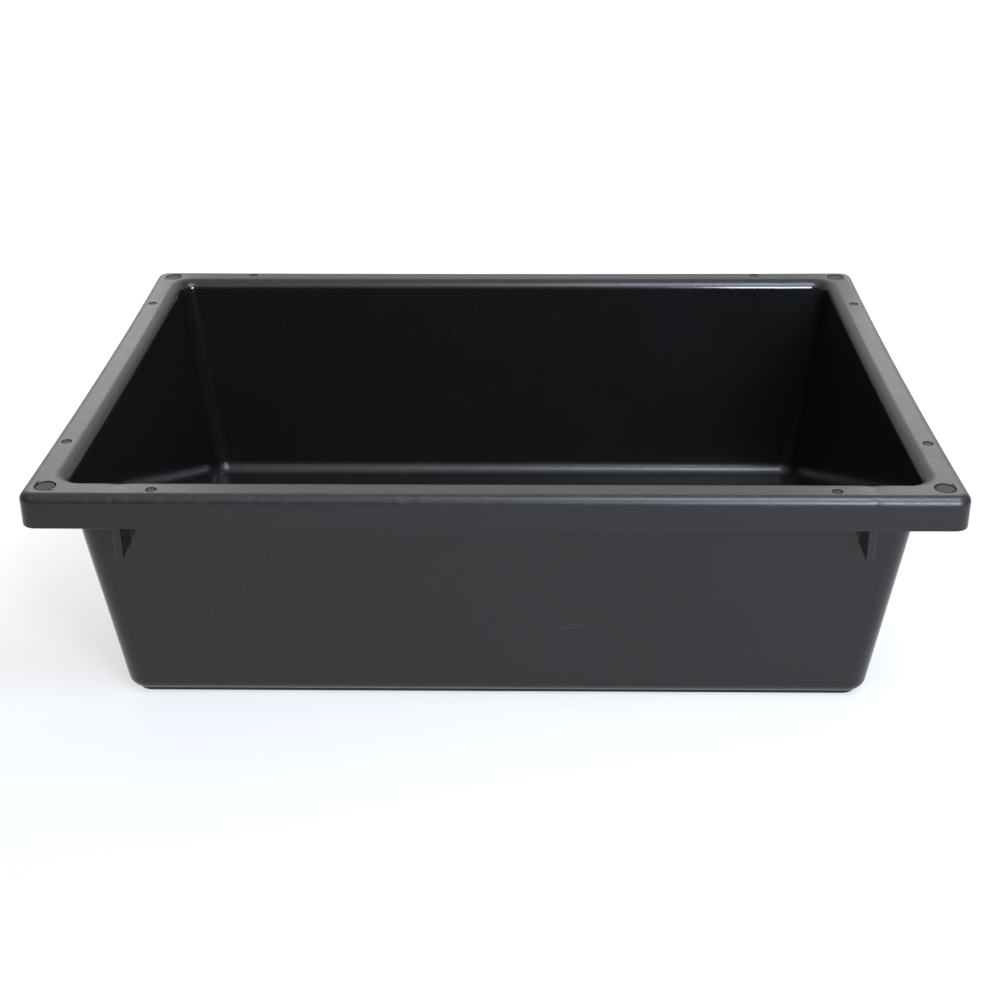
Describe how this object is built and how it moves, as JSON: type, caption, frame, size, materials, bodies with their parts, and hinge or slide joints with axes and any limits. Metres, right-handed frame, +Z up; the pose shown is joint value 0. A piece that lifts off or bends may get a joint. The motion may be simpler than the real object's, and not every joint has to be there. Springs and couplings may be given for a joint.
{
  "type": "mortar mixing tub",
  "caption": "Rectangular open mixing tub with sloped walls, rounded corners, a flat turned-down rim and stacking ribs under the rim.",
  "frame": {"origin": "on the ground under the middle of the tub, in the plane of the foot rails' undersides", "axes": "+X along the length, +Y towards the back long side, +Z up out of the opening"},
  "size_m": [0.7, 0.52, 0.204],
  "materials": {
    "tub_plastic": "satin black, fine moulded grain"
  },
  "bodies": {
    "root": {"back_foot_rail": "tub_plastic", "back_left_rim_corner": "tub_plastic", "back_left_skirt_corner": "tub_plastic", "back_left_wall_corner": "tub_plastic", "back_lip": "tub_plastic", "back_rib_left": "tub_plastic", "back_rib_right": "tub_plastic", "back_right_rim_corner": "tub_plastic", "back_right_skirt_corner": "tub_plastic", "back_right_wall_corner": "tub_plastic", "back_rim_deck": "tub_plastic", "back_skirt": "tub_plastic", "back_wall": "tub_plastic", "floor_panel": "tub_plastic", "front_foot_rail": "tub_plastic", "front_left_rim_corner": "tub_plastic", "front_left_skirt_corner": "tub_plastic", "front_left_wall_corner": "tub_plastic", "front_lip": "tub_plastic", "front_rib_left": "tub_plastic", "front_rib_right": "tub_plastic", "front_right_rim_corner": "tub_plastic", "front_right_skirt_corner": "tub_plastic", "front_right_wall_corner": "tub_plastic", "front_rim_deck": "tub_plastic", "front_skirt": "tub_plastic", "front_wall": "tub_plastic", "left_foot_rail": "tub_plastic", "left_lip": "tub_plastic", "left_rib_back": "tub_plastic", "left_rib_front": "tub_plastic", "left_rim_deck": "tub_plastic", "left_skirt": "tub_plastic", "left_wall": "tub_plastic", "right_foot_rail": "tub_plastic", "right_lip": "tub_plastic", "right_rib_back": "tub_plastic", "right_rib_front": "tub_plastic", "right_rim_deck": "tub_plastic", "right_skirt": "tub_plastic", "right_wall": "tub_plastic"}
  },
  "joints": []
}
